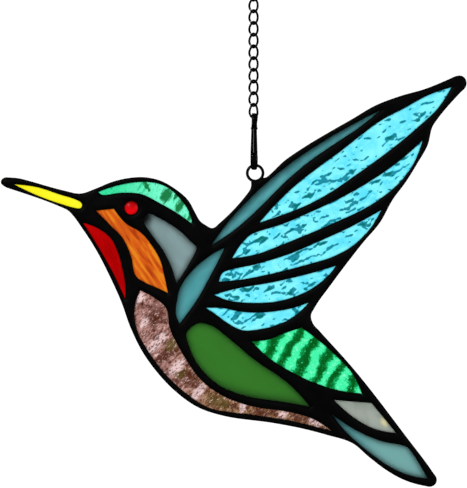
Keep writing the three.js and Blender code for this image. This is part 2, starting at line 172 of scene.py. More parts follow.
def smoothLoop(loop, spacing):
    # a curve through the joints, sharp only at the real corners
    count = len(loop)
    sides = [loop[(i + 1) % count] - loop[i] for i in range(count)]
    corners = realCorners(sides)
    limits = [outlining["facetSag"] / (outlining["bulge"] * side.length) for side in sides]
    arrivals, leavings = [], []
    for i in range(count):
        before, after = sides[i - 1], sides[i]
        turn = before.angle(after, 0)
        share = turn * before.length / (before.length + after.length)
        first = min(share, limits[i - 1])
        second = min(turn - first, limits[i])
        first = min(turn - second, limits[i - 1])
        headings = [before.normalized().slerp(after.normalized(), part / turn if turn else 0)
                    for part in (first, turn - second)]
        arrivals.append(None if corners[i] else headings[0])
        leavings.append(None if corners[i] else headings[1])
    points, pinned = [], []
    for i, side in enumerate(sides):
        j = (i + 1) % count
        leave = leavings[i] and leavings[i] * side.length
        arrive = arrivals[j] and arrivals[j] * side.length
        if leave is None and arrive is None:
            leave = arrive = side
        elif leave is None:
            leave = 1.5 * side - 0.5 * arrive
        elif arrive is None:
            arrive = 1.5 * side - 0.5 * leave
        steps = max(1, math.ceil(side.length / spacing))
        for step in range(steps):
            t = step / steps
            points.append((2 * t**3 - 3 * t**2 + 1) * loop[i] + (t**3 - 2 * t**2 + t) * leave
                          + (3 * t**2 - 2 * t**3) * loop[j] + (t**3 - t**2) * arrive)
            pinned.append(step == 0 and corners[i])
    return evened(points, pinned)


def evened(points, pinned):
    # small kinks drawn out, pushing back after each pull so that the curve doesn't shrink
    count = len(points)
    for turn in range(2 * outlining["rounds"]):
        amount = outlining["pushBack" if turn % 2 else "draw"]
        points = [p if pinned[i] else p + amount * ((points[i - 1] + points[(i + 1) % count]) / 2 - p)
                  for i, p in enumerate(points)]
    return points


def rimTree(loops):
    # finds how far a spot is from the nearest outline
    step = 0.15 * mm
    spots = []
    for loop in loops:
        for i, point in enumerate(loop):
            toNext = loop[(i + 1) % len(loop)] - point
            count = max(1, math.ceil(toNext.length / step))
            spots += [point + toNext * (k / count) for k in range(count)]
    tree = KDTree(len(spots))
    for i, spot in enumerate(spots):
        tree.insert((spot.x, 0, spot.y), i)
    tree.balance()
    return tree


def gridInside(loops, spacing):
    # a triangular grid of spots inside the outlines, holes left out
    spots = []
    rise = spacing * math.sqrt(3) / 2
    low = min(p.y for loop in loops for p in loop)
    high = max(p.y for loop in loops for p in loop)
    for row in range(1, int((high - low) / rise)):
        height = low + row * rise
        crossings = []
        for loop in loops:
            for i, b in enumerate(loop):
                a = loop[i - 1]
                if (a.y > height) != (b.y > height):
                    crossings.append(a.x + (height - a.y) * (b.x - a.x) / (b.y - a.y))
        crossings.sort()
        shift = spacing / 2 * (row % 2)
        for left, right in zip(crossings[::2], crossings[1::2]):
            first = math.ceil((left - shift) / spacing)
            last = math.floor((right - shift) / spacing)
            spots += [Vector((k * spacing + shift, height)) for k in range(first, last + 1)]
    return spots


def flatSheet(loops, rim, spacing, rows=()):
    # a flat sheet within the outlines, its triangles finer in rows beside the rim
    spots, edges = [], []
    for loop in loops:
        first = len(spots)
        spots += loop
        edges += [(first + i, first + (i + 1) % len(loop)) for i in range(len(loop))]
    for row in rows:
        for loop in loops:
            for i, point in enumerate(loop):
                along = (loop[(i + 1) % len(loop)] - loop[i - 1]).normalized()
                for side in (row, -row):
                    spot = point + side * Vector((-along.y, along.x))
                    if rim.find((spot.x, 0, spot.y))[2] > 0.95 * row:
                        spots.append(spot)
    clear = (rows[-1] if rows else 0) + 0.45 * spacing
    spots += [p for p in gridInside(loops, spacing) if rim.find((p.x, 0, p.y))[2] > clear]
    corners, _, triangles, _, _, _ = delaunay_2d_cdt([p / mm for p in spots], edges, [], 0, 1e-5, False)
    sheet = bmesh.new()
    verts = [sheet.verts.new((p.x * mm, 0, p.y * mm)) for p in corners]
    for triangle in triangles:
        sheet.faces.new([verts[i] for i in triangle])
    outline = {sheet.edges.get((verts[a], verts[b])) for a, b in edges}
    edge = next(e for e in sheet.edges if e.is_boundary)
    inside = {edge.link_faces[0]: edge in outline}
    waiting = list(inside)
    while waiting:  # from face to face, in or out at each step over an outline
        face = waiting.pop()
        for edge in face.edges:
            for other in edge.link_faces:
                if other not in inside:
                    inside[other] = inside[face] != (edge in outline)
                    waiting.append(other)
    bmesh.ops.delete(sheet, geom=[f for f in sheet.faces if not inside[f]], context="FACES")
    return sheet


def thickened(sheet, half):
    # a flat sheet becomes a plate, as thick on both sides of the middle plane
    bmesh.ops.translate(sheet, verts=sheet.verts, vec=(0, -half, 0))
    grown = bmesh.ops.extrude_face_region(sheet, geom=sheet.faces[:], use_keep_orig=True)
    back = [v for v in grown["geom"] if isinstance(v, bmesh.types.BMVert)]
    bmesh.ops.translate(sheet, verts=back, vec=(0, 2 * half, 0))
    bmesh.ops.recalc_face_normals(sheet, faces=sheet.faces)
    return toMesh(sheet)


# The soldered lines: came and solder, run by hand and blackened

soldered = {
    "wallLevel": 1.85 * mm,         # where the CAD wall runs plain, between groove and chamfer
    "pointSpacing": 0.45 * mm,
    "rows": (0.12 * mm, 0.34 * mm, 0.7 * mm),
    "gridSpacing": 0.75 * mm,
    "edgeHeight": 1.55 * mm,        # half thickness where the bead meets the glass
    "crownHeight": 2.4 * mm,        # half thickness along the middle of a line
    "beadWidth": 2.1 * mm,          # from a line's edge in to its full height
    "rippleHeight": 0.09 * mm,      # the unevenness of solder run by hand
    "rippleLength": 4.5 * mm,
}
solderLoops = [smoothLoop(loop, soldered["pointSpacing"])
               for loop in outlineLoops("solder_came", -soldered["wallLevel"])]
solderRim = rimTree(solderLoops)


def solderedLines():
    sheet = flatSheet(solderLoops, solderRim, soldered["gridSpacing"], soldered["rows"])
    mesh = thickened(sheet, soldered["edgeHeight"])
    rise = soldered["crownHeight"] - soldered["edgeHeight"]
    for vert in mesh.vertices:
        inward = min(1, solderRim.find((vert.co.x, 0, vert.co.z))[2] / soldered["beadWidth"])
        crown = rise * math.sqrt(1 - (1 - inward) ** 2)
        ripple = soldered["rippleHeight"] * noise.noise(vert.co / soldered["rippleLength"]) * inward
        vert.co.y += math.copysign(crown + ripple, vert.co.y)
    return mesh


def patinaMaterial():
    # Lead and tin solder under black patina: near-black and satin, greyer where it is rubbed.
    material, tree, shader = newMaterial("blackPatinaSolder")
    place = addNode(tree, "ShaderNodeTexCoord").outputs["Object"]
    rubbed = addNode(tree, "ShaderNodeTexNoise", {"Scale": 1 / (9 * mm), "Detail": 4}, {"Vector": place})
    grain = addNode(tree, "ShaderNodeTexNoise", {"Scale": 1 / (1.2 * mm), "Detail": 3}, {"Vector": place})
    tone = addNode(tree, "ShaderNodeMix", {"data_type": "RGBA", 6: linearColour("#010101"),
                                           7: linearColour("#070708")}, {0: rubbed.outputs["Fac"]})
    satin = addNode(tree, "ShaderNodeMapRange", {"To Min": 0.38, "To Max": 0.6},
                    {"Value": rubbed.outputs["Fac"]})
    bump = addNode(tree, "ShaderNodeBump", {"Strength": 0.35, "Distance": 0.08 * mm},
                   {"Height": grain.outputs["Fac"]})
    shader.inputs["Specular IOR Level"].default_value = 0.25
    tree.links.new(tone.outputs[2], shader.inputs["Base Color"])
    tree.links.new(satin.outputs["Result"], shader.inputs["Roughness"])
    tree.links.new(bump.outputs["Normal"], shader.inputs["Normal"])
    return material


# Glass. Each pattern is flat, the same on a pane's front and back, so it reads X and Z alone.

def flatPlace(tree, slant=0, stretch=(1, 1)):
    # Object coordinates without their depth, turned by a slant and stretched along and across it
    place = addNode(tree, "ShaderNodeTexCoord").outputs["Object"]
    return addNode(tree, "ShaderNodeMapping",
                   {"vector_type": "TEXTURE", "Rotation": (0, -math.radians(slant), 0),
                    "Scale": (stretch[0], 1e6, stretch[1])}, {"Vector": place}).outputs["Vector"]


def patchReach(tree, place, patches):
    # how near a spot is to the middle of the nearest patch: 1 at its middle, 0 at its edge
    # each patch is X, Z, half length, half width in mm and its slant in degrees
    nearest = None
    for x, z, length, width, slant in patches:
        local = addNode(tree, "ShaderNodeMapping",
                        {"vector_type": "TEXTURE", "Location": (x * mm, 0, z * mm),
                         "Rotation": (0, -math.radians(slant), 0),
                         "Scale": (length * mm, 1, width * mm)}, {"Vector": place})
        away = addNode(tree, "ShaderNodeVectorMath", {"operation": "LENGTH"}, {0: local.outputs["Vector"]})
        reach = addNode(tree, "ShaderNodeMath", {"operation": "SUBTRACT", "use_clamp": True, 0: 1.0},
                        {1: away.outputs["Value"]}).outputs[0]
        if nearest:
            reach = addNode(tree, "ShaderNodeMath", {"operation": "MAXIMUM"},
                            {0: nearest, 1: reach}).outputs[0]
        nearest = reach
    return nearest


def warpedPlace(tree, place, size, amount):
    # the place pushed about by a soft noise, for wandering edges
    push = addNode(tree, "ShaderNodeTexNoise", {"Scale": 1 / size, "Detail": 2}, {"Vector": place})
    centred = addNode(tree, "ShaderNodeVectorMath", {"operation": "SUBTRACT", 1: (0.5, 0.5, 0.5)},
                      {0: push.outputs["Color"]})
    scaled = addNode(tree, "ShaderNodeVectorMath", {"operation": "MULTIPLY", 1: (amount, 0, amount)},
                     {0: centred.outputs["Vector"]})
    return addNode(tree, "ShaderNodeVectorMath", {"operation": "ADD"},
                   {0: place, 1: scaled.outputs["Vector"]}).outputs["Vector"]


def laidOver(tree, colour, shade, value, low, high, strength):
    # one more colour over the last, softly from where the value passes low to where it reaches high
    spread = addNode(tree, "ShaderNodeMapRange",
                     {"interpolation_type": "SMOOTHSTEP", "From Min": low, "From Max": high,
                      "To Max": strength}, {"Value": value})
    return addNode(tree, "ShaderNodeMix", {"data_type": "RGBA", 7: linearColour(shade)},
                   {0: spread.outputs["Result"], 6: colour}).outputs[2]


def finishGlass(tree, shader, colour, height, look):
    # the painted shade held in the shade attribute (the came's shadow along each pane's edge, the eye's
    # darker top), then the shader's own values
    shade = addNode(tree, "ShaderNodeAttribute", {"attribute_name": "shade"})
    shaded = addNode(tree, "ShaderNodeMix", {"data_type": "RGBA", 7: linearColour(look["shade"])},
                     {0: shade.outputs["Fac"], 6: colour})
    bump = addNode(tree, "ShaderNodeBump", {"Strength": look["bump"], "Distance": look["bumpDepth"]},
                   {"Height": height})
    shader.inputs["Transmission Weight"].default_value = look["transmission"]
    shader.inputs["Roughness"].default_value = look["roughness"]
    shader.inputs["IOR"].default_value = 1.52
    shader.inputs["Specular IOR Level"].default_value = look.get("specular", 0.5)
    tree.links.new(shaded.outputs[2], shader.inputs["Base Color"])
    tree.links.new(bump.outputs["Normal"], shader.inputs["Normal"])


feather = {
    # bright is both the clear glass's paler cloud and the creases' painted highlight; mark and deep are the
    # creases' painted shade
    "clear": "#5fe3fb", "bright": "#86f8ff", "mark": "#17889c", "deep": "#0a6e62",
    "slant": 33, "creaseLength": 4.2, "creaseWidth": 2.5, "flankShift": (0.16, 0.0, 0.36),
    # the larger knots of crinkles, feather by feather, from the wing's tip to its root
    "knots": [
        (68.4, -78.4, 6.0, 2.6, 8), (56.2, -87.7, 5.0, 2.6, 12), (38.4, -102.6, 6.6, 3.2, 30),
        (28.6, -104.0, 5.2, 2.8, 18), (22.8, -109.0, 5.0, 2.8, -38), (17.0, -115.5, 5.4, 2.8, 24),
        (9.6, -116.0, 4.0, 2.4, 30),
        (54.4, -102.9, 7.2, 3.0, 28), (59.4, -97.6, 4.0, 2.2, 40), (40.6, -113.9, 6.4, 4.4, 45),
        (31.2, -122.2, 5.4, 2.4, 24), (24.6, -119.4, 4.4, 2.0, 20), (19.6, -124.7, 4.8, 2.6, -10),
        (13.0, -127.5, 6.0, 2.8, 38), (3.2, -128.4, 6.4, 3.2, 28), (-2.9, -132.0, 3.8, 3.4, 0),
        (45.5, -122.8, 4.2, 3.2, 40), (26.8, -131.1, 5.6, 2.6, 28), (18.4, -136.4, 5.6, 4.8, 30),
        (9.0, -136.9, 3.8, 1.8, 18), (1.4, -141.3, 6.2, 3.6, 38), (-8.9, -143.0, 5.6, 3.0, 20),
        (30.0, -143.8, 3.4, 2.0, 40), (22.8, -147.1, 4.4, 3.0, 35), (14.0, -150.7, 8.4, 2.8, 10),
        (6.8, -149.4, 3.4, 4.4, 90), (-3.0, -149.8, 5.4, 2.8, 8), (-9.5, -152.4, 5.0, 2.4, -4),
        (17.8, -157.8, 4.4, 2.4, 32), (9.6, -163.9, 6.4, 2.2, 16), (2.4, -160.3, 4.8, 3.6, -30),
        (-6.5, -160.4, 5.8, 4.6, -20), (-13.6, -156.6, 3.8, 2.0, -20),
    ],
    "transmission": 1.0, "roughness": 0.04, "bump": 0.5, "bumpDepth": 0.25 * mm, "shade": "#083a55",
}


def featherMaterial():
    # Cyan cathedral glass, rolled with a crinkled face: clear, with dark creases in loose knots. The creases'
    # dark marks and bright flanks are painted shade and painted highlight, taken from the slope of the
    # crinkled relief as though lit from one side.
    material, tree, shader = newMaterial("crinkledCyanCathedralGlass")
    place = flatPlace(tree)
    wander = warpedPlace(tree, place, 2.6 * mm, 3.4 * mm)
    reach = patchReach(tree, wander, feather["knots"])
    creases = flatPlace(tree, feather["slant"], (feather["creaseLength"] * mm, feather["creaseWidth"] * mm))
    flank = addNode(tree, "ShaderNodeVectorMath", {"operation": "ADD", 1: feather["flankShift"]},
                    {0: creases})
    relief, beside = (addNode(tree, "ShaderNodeTexNoise",
                              {"Scale": 1.0, "Detail": 1.6, "Roughness": 0.5, "Distortion": 0.5},
                              {"Vector": spot}).outputs["Fac"]
                      for spot in (creases, flank.outputs["Vector"]))
    # the relief's slope, which the creases' painted shade and painted highlight follow
    slope = addNode(tree, "ShaderNodeMath", {"operation": "SUBTRACT"}, {0: relief, 1: beside})
    gathered = addNode(tree, "ShaderNodeMath", {"operation": "MULTIPLY_ADD", 1: 0.28},
                       {0: reach, 2: slope.outputs[0]})
    cloud = addNode(tree, "ShaderNodeTexNoise", {"Scale": 1 / (6 * mm), "Detail": 2}, {"Vector": place})
    flow = addNode(tree, "ShaderNodeMapRange", {"From Min": 0.36, "From Max": 0.64},
                   {"Value": cloud.outputs["Fac"]})
    clear = addNode(tree, "ShaderNodeMix", {"data_type": "RGBA", 6: linearColour(feather["clear"]),
                                            7: linearColour(feather["bright"])},
                    {0: flow.outputs["Result"]})
    colour = clear.outputs[2]
    # painted highlight on one flank of each crease, painted shade on the other, deeper painted shade in the
    # knots
    for source, low, high, shade, strength in ((slope, -0.07, -0.16, "bright", 0.8),
                                               (slope, 0.115, 0.14, "mark", 0.8),
                                               (gathered, 0.15, 0.18, "mark", 0.95),
                                               (gathered, 0.26, 0.36, "deep", 0.9)):
        colour = laidOver(tree, colour, feather[shade], source.outputs[0], low, high, strength)
    finishGlass(tree, shader, colour, relief, feather)
    return material


crown = {
    "clear": "#3ce4a4", "bright": "#78fccf", "mark": "#149a58", "deep": "#0c7434",
    "brightens": (-56 * mm, -38 * mm),   # from the brow back to the nape
    "patches": [(-35.6, -110.6, 4.6, 3.3, 62), (-44.0, -106.4, 4.0, 1.1, -62), (-29.8, -114.4, 5.4, 2.0, 58),
                (-31.6, -110.6, 2.8, 1.2, 60), (-26.0, -119.0, 3.4, 1.3, 70), (-24.4, -121.4, 2.4, 1.4, 60)],
    "transmission": 1.0, "roughness": 0.05, "bump": 0.45, "bumpDepth": 0.2 * mm, "shade": "#064a2a",
}


def crownMaterial():
    # Mint cathedral glass, finely seedy, with a few bottle green streaks.
    material, tree, shader = newMaterial("seedyMintCathedralGlass")
    place = flatPlace(tree)
    reach = patchReach(tree, warpedPlace(tree, place, 1.8 * mm, 1.6 * mm), crown["patches"])
    seeds = addNode(tree, "ShaderNodeTexNoise",
                    {"Scale": 1 / (0.9 * mm), "Detail": 2, "Distortion": 1.2}, {"Vector": place})
    veins = addNode(tree, "ShaderNodeTexNoise", {"Scale": 1.0, "Detail": 3, "Distortion": 0.8},
                    {"Vector": flatPlace(tree, 60, (4.5 * mm, 1.2 * mm))})
    brow, nape = crown["brightens"]
    across = addNode(tree, "ShaderNodeMapRange", {"From Min": brow, "From Max": nape},
                     {"Value": addNode(tree, "ShaderNodeSeparateXYZ", links={0: place}).outputs["X"]})
    colour = addNode(tree, "ShaderNodeMix", {"data_type": "RGBA", 6: linearColour(crown["clear"]),
                                             7: linearColour(crown["bright"])},
                     {0: across.outputs["Result"]}).outputs[2]
    for source, low, high, shade, strength in ((veins, 0.53, 0.68, "clear", 0.8),
                                               (seeds, 0.6, 0.72, "mark", 0.75),
                                               (veins, 0.56, 0.72, "mark", 0.55)):
        colour = laidOver(tree, colour, crown[shade], source.outputs["Fac"], low, high, strength)
    mottled = addNode(tree, "ShaderNodeMath", {"operation": "MULTIPLY_ADD", 1: 1.1},
                      {0: veins.outputs["Fac"], 2: reach})
    streak = addNode(tree, "ShaderNodeMapRange",
                     {"interpolation_type": "SMOOTHSTEP", "From Min": 0.68, "From Max": 1.05, "To Max": 0.95},
                     {"Value": mottled.outputs[0]})
    inPatch = addNode(tree, "ShaderNodeMapRange", {"From Max": 0.12}, {"Value": reach})
    amount = addNode(tree, "ShaderNodeMath", {"operation": "MULTIPLY"},
                     {0: streak.outputs["Result"], 1: inPatch.outputs["Result"]})
    streaked = addNode(tree, "ShaderNodeMix", {"data_type": "RGBA", 7: linearColour(crown["deep"])},
                       {0: amount.outputs[0], 6: colour})
    finishGlass(tree, shader, streaked.outputs[2], seeds.outputs["Fac"], crown)
    return material


rump = {
    # bright, middle and deep are the ripples' painted light and shade; the fourth colour is a painted glint
    "bright": "#42f4a8", "middle": "#12a858", "deep": "#065c1c", "paintedGlint": "#8cffcc",
    "slant": 62, "bandPeriod": 7.3 * mm, "bandStart": 2.0 * mm,
    "transmission": 1.0, "roughness": 0.04, "bump": 0.6, "bumpDepth": 0.3 * mm, "shade": "#054a1c",
}


def rumpMaterial():
    # Emerald ripple glass: rolled ripples that run slantwise. Painted light and shade follow the ripples'
    # height, bright on one flank and dark on the other, with painted glints at the brightest.
    material, tree, shader = newMaterial("rippledEmeraldCathedralGlass")
    place = flatPlace(tree)
    broad = warpedPlace(tree, place, 9 * mm, 7 * mm)
    wander = warpedPlace(tree, broad, 1.7 * mm, 2.4 * mm)
    turned = addNode(tree, "ShaderNodeMapping",
                     {"vector_type": "TEXTURE", "Rotation": (0, -math.radians(rump["slant"] - 90), 0),
                      "Location": (rump["bandStart"], 0, 0)}, {"Vector": wander})
    onBand = addNode(tree, "ShaderNodeSeparateXYZ", links={0: turned.outputs["Vector"]}).outputs["X"]
    phase = addNode(tree, "ShaderNodeMath", {"operation": "MULTIPLY", 1: 2 * math.pi / rump["bandPeriod"]},
                    {0: onBand})
    wave = addNode(tree, "ShaderNodeMath", {"operation": "SINE"}, {0: phase.outputs[0]})
    crumbs = addNode(tree, "ShaderNodeTexNoise",
                     {"Scale": 1 / (1.25 * mm), "Detail": 1.5, "Distortion": 1.4}, {"Vector": place})
    frayed = addNode(tree, "ShaderNodeMath", {"operation": "MULTIPLY_ADD", 1: 2.4},
                     {0: crumbs.outputs["Fac"], 2: wave.outputs[0]})
    colour = addNode(tree, "ShaderNodeMix", {"data_type": "RGBA", 6: linearColour(rump["deep"]),
                                             7: linearColour(rump["middle"])},
                     {0: addNode(tree, "ShaderNodeMapRange", {"From Min": 0.5, "From Max": 1.5},
                                 {"Value": frayed.outputs[0]}).outputs["Result"]}).outputs[2]
    # painted light across each ripple's bright flank, and painted glints at the brightest
    for low, high, shade, strength in ((1.36, 1.62, "bright", 1.0), (2.15, 2.5, "paintedGlint", 0.8)):
        colour = laidOver(tree, colour, rump[shade], frayed.outputs[0], low, high, strength)
    colour = laidOver(tree, colour, rump["bright"], crumbs.outputs["Fac"], 0.34, 0.28, 0.85)
    finishGlass(tree, shader, colour, wave.outputs[0], rump)
    return material


belly = {
    "pale": "#f0d2d2", "pink": "#b4867e", "brown": "#52281a", "olive": "#5c5222", "tan": "#a07c4e",
    "slant": 44, "tanFrom": -38 * mm, "tanTo": -12 * mm,
    "paleBands": [(-39.8, -171.2, 7.5, 2.6, 46), (-31.2, -180.9, 6.4, 2.4, 42), (-22.6, -191.2, 5.4, 2.6, 50),
                  (-4.2, -197.4, 3.4, 1.8, 60), (12.0, -200.4, 3.2, 2.0, 62), (25.5, -203.6, 4.4, 2.2, -20),
                  (-46.6, -152.6, 3.2, 2.4, 60), (-45.0, -163.0, 3.6, 1.8, 60)],
    "brownPatches": [(-40.2, -160.0, 6.2, 5.2, 40), (-36.0, -176.2, 6.5, 3.0, 44),
                     (-26.0, -186.0, 7.0, 3.6, -45), (4.0, -199.8, 6.0, 2.4, -10),
                     (19.0, -202.2, 5.5, 2.4, -14)],
    "olivePatches": [(-33.4, -171.6, 5.0, 3.2, 46), (-29.8, -183.6, 3.8, 2.8, 40),
                     (-14.4, -195.2, 7.5, 3.4, -28)],
    "transmission": 1.0, "roughness": 0.1, "bump": 0.8, "bumpDepth": 0.25 * mm, "shade": "#2c1412",
}


def bellyMaterial():
    # Pink and brown streaky glass with a granular rolled face, crossed by paler and darker bands.
    material, tree, shader = newMaterial("granularPinkStreakyGlass")
    place = flatPlace(tree)
    wander = warpedPlace(tree, place, 2.4 * mm, 2.6 * mm)
    grains = addNode(tree, "ShaderNodeTexNoise",
                     {"Scale": 1 / (0.85 * mm), "Detail": 2.5, "Roughness": 0.65, "Distortion": 0.9},
                     {"Vector": flatPlace(tree, belly["slant"], (2.2, 0.9))})
    cloud = addNode(tree, "ShaderNodeTexNoise", {"Scale": 1 / (3.2 * mm), "Detail": 2}, {"Vector": wander})
    rearward = addNode(tree, "ShaderNodeMapRange",
                       {"interpolation_type": "SMOOTHSTEP", "From Min": belly["tanFrom"],
                        "From Max": belly["tanTo"], "To Max": 0.75},
                       {"Value": addNode(tree, "ShaderNodeSeparateXYZ", links={0: place}).outputs["X"]})
    tinted = addNode(tree, "ShaderNodeMix", {"data_type": "RGBA", 6: linearColour(belly["pink"]),
                                             7: linearColour(belly["tan"])},
                     {0: rearward.outputs["Result"]})
    colour = addNode(tree, "ShaderNodeMix", {"data_type": "RGBA", 6: linearColour(belly["brown"])},
                     {7: tinted.outputs[2],
                      0: addNode(tree, "ShaderNodeMapRange", {"From Min": 0.34, "From Max": 0.56},
                                 {"Value": cloud.outputs["Fac"]}).outputs["Result"]}).outputs[2]
    for patches, shade, strength in (("brownPatches", "brown", 0.75), ("olivePatches", "olive", 0.8),
                                     ("paleBands", "pale", 0.85)):
        reach = patchReach(tree, wander, belly[patches])
        colour = laidOver(tree, colour, belly[shade], reach, 0.0, 0.6, strength)
    for low, high, shade, strength in ((0.52, 0.6, "brown", 0.85), (0.43, 0.34, "pale", 0.8)):
        colour = laidOver(tree, colour, belly[shade], grains.outputs["Fac"], low, high, strength)
    finishGlass(tree, shader, colour, grains.outputs["Fac"], belly)
    return material


face = {
    "orange": "#dc5e06", "amber": "#f09010", "ember": "#ae3402", "slant": -54,
    "streakLength": 13, "streakWidth": 1.5,
    "transmission": 0.95, "roughness": 0.35, "bump": 0.25, "bumpDepth": 0.1 * mm, "shade": "#5a1c02",
}


def faceMaterial():
    # Streaky orange glass: amber and red pulled lengthwise while it was molten.
    material, tree, shader = newMaterial("streakyOrangeGlass")
    pulled = flatPlace(tree, face["slant"], (face["streakLength"] * mm, face["streakWidth"] * mm))
    streaks = addNode(tree, "ShaderNodeTexNoise",
                      {"Scale": 1.0, "Detail": 3, "Roughness": 0.55, "Distortion": 0.7}, {"Vector": pulled})
    amber = addNode(tree, "ShaderNodeMapRange",
                    {"interpolation_type": "SMOOTHSTEP", "From Min": 0.5, "From Max": 0.62, "To Max": 0.9},
                    {"Value": streaks.outputs["Fac"]})
    warm = addNode(tree, "ShaderNodeMix", {"data_type": "RGBA", 6: linearColour(face["orange"]),
                                           7: linearColour(face["amber"])}, {0: amber.outputs["Result"]})
    hot = laidOver(tree, warm.outputs[2], face["ember"], streaks.outputs["Fac"], 0.47, 0.35, 0.85)
    finishGlass(tree, shader, hot, streaks.outputs["Fac"], face)
    return material


# Even and wispy glasses: a colour, a second colour in soft clouds, and how much they scatter.
# cloud is the size of the wisps in mm and slant their direction; patches hold the second colour.
wispy = {
    "yellowCathedralGlass": {"colour": "#fcf82c", "wisp": "#f8f01c", "cloud": 12, "slant": -15,
                             "transmission": 1.0, "roughness": 0.06, "shade": "#8a7a04"},
    "rubyCathedralGlass": {"colour": "#a20204", "wisp": "#c00507", "cloud": 14, "slant": -58,
                           "transmission": 1.0, "roughness": 0.08, "shade": "#4a0002"},
    "rubyNuggetGlass": {"colour": "#dc0810", "wisp": "#e40a12", "cloud": 8, "slant": 0,
                        "transmission": 1.0, "roughness": 0.3, "shade": "#1a0001", "specular": 0.0},
    "greyOpalescentGlass": {"colour": "#90a9aa", "wisp": "#9db8ba", "cloud": 12, "slant": -50,
                            "transmission": 0.9, "roughness": 0.8, "shade": "#0c0e10",
                            # here the second colour and its patches are painted shade: two near-black
                            # patches, at the cheek's top-left end and near its lower end
                            "second": "#0c0d0e",
                            "patches": [(-45.6, -119.6, 6.4, 6.4, 0), (-31.4, -149.2, 7, 3.6, 62)]},
    "tealOpalescentGlass": {"colour": "#54acb2", "wisp": "#66bec4", "cloud": 10, "slant": 45,
                            "transmission": 0.9, "roughness": 0.8, "shade": "#030f11",
                            "second": "#84bcba", "patches": [(60, -219, 34, 16, -38)]},
    "greenOpalescentGlass": {"colour": "#42932f", "wisp": "#3f8d2b", "cloud": 22, "slant": -40,
                             "transmission": 0.9, "roughness": 0.85, "shade": "#16300f"},
    "pearlOpalescentGlass": {"colour": "#a0aaa0", "wisp": "#b4bcb4", "cloud": 9, "slant": -35,
                             "transmission": 0.9, "roughness": 0.75, "shade": "#3c423c",
                             "second": "#e6e0b0", "patches": [(53.6, -203.8, 3.0, 1.8, -52)]},
}


def wispyMaterial(name):
    # Opalescent or plain cathedral glass: nearly even, with wisps pulled one way.
    look = dict(wispy[name], bump=0.2, bumpDepth=0.1 * mm)
    material, tree, shader = newMaterial(name)
    pulled = flatPlace(tree, look["slant"], (look["cloud"] * mm, look["cloud"] * mm * 0.4))
    wisps = addNode(tree, "ShaderNodeTexNoise", {"Scale": 1.0, "Detail": 4, "Distortion": 0.5},
                    {"Vector": pulled})
    spread = addNode(tree, "ShaderNodeMapRange", {"From Min": 0.38, "From Max": 0.66},
                     {"Value": wisps.outputs["Fac"]})
    colour = addNode(tree, "ShaderNodeMix", {"data_type": "RGBA", 6: linearColour(look["colour"]),
                                             7: linearColour(look["wisp"])},
                     {0: spread.outputs["Result"]}).outputs[2]
    if "patches" in look:
        reach = patchReach(tree, warpedPlace(tree, flatPlace(tree), 4 * mm, 2 * mm), look["patches"])
        colour = laidOver(tree, colour, look["second"], reach, 0.0, 0.8, 1.0)
    finishGlass(tree, shader, colour, wisps.outputs["Fac"], look)
    return material


# Panes: the record's slot, the glass, how high its relief is and over what length, and the came's
# shade: how wide and how strong it is all round, then the side that it deepens towards, if any.
glass = {
    "feather": (featherMaterial, (0.14 * mm, 3.2 * mm)),
    "crown": (crownMaterial, (0.1 * mm, 2.4 * mm)),
    "rump": (rumpMaterial, (0.16 * mm, 2.6 * mm)),
    "belly": (bellyMaterial, (0.14 * mm, 1.6 * mm)),
    "face": (faceMaterial, (0.05 * mm, 8 * mm)),
}
panes = {
    "glass_beak": ("glass_yellow", "yellowCathedralGlass", (0.5, 0.35), None),
    "glass_crown": ("glass_mint", "crown", (0.5, 0.4), None),
    "glass_face": ("glass_orange", "face", (0.6, 0.45), None),
    "glass_throat": ("glass_red", "rubyCathedralGlass", (0.6, 0.3), None),
    "glass_cheek": ("glass_grey", "greyOpalescentGlass", (2.2, 0.75), (-0.7, 0.7, 5.0, 0.95)),
    "glass_shoulder": ("glass_teal", "tealOpalescentGlass", (1.2, 0.55), (-0.9, 0.45, 3.4, 0.8)),
    "glass_wing_edge": ("glass_teal", "tealOpalescentGlass", (0.8, 0.4), (-0.68, 0.73, 3.4, 0.98)),
    "glass_feather_1": ("glass_cyan", "feather", (0.6, 0.55), None),
    "glass_feather_2": ("glass_cyan", "feather", (0.6, 0.55), None),
    "glass_feather_3": ("glass_cyan", "feather", (0.6, 0.55), None),
    "glass_feather_4": ("glass_cyan", "feather", (0.6, 0.55), None),
    "glass_feather_5": ("glass_cyan", "feather", (0.6, 0.55), None),
    "glass_belly": ("glass_pink", "belly", (0.5, 0.4), None),
    "glass_body": ("glass_green", "greenOpalescentGlass", (2.0, 0.75), (0.2, -0.9, 3.5, 0.7)),
    "glass_rump": ("glass_emerald", "rump", (0.6, 0.45), None),
    "glass_tail_upper": ("glass_pearl", "pearlOpalescentGlass", (0.5, 0.2), None),
    "glass_tail_lower": ("glass_teal", "tealOpalescentGlass", (1.8, 0.85), (-0.8, 0.5, 2.4, 0.8)),
}
paneMesh = {"half": 1.3 * mm, "pointSpacing": 0.45 * mm, "gridSpacing": 0.6 * mm,
            "shadeRounds": 8, "hiddenLap": 0.48 * mm}


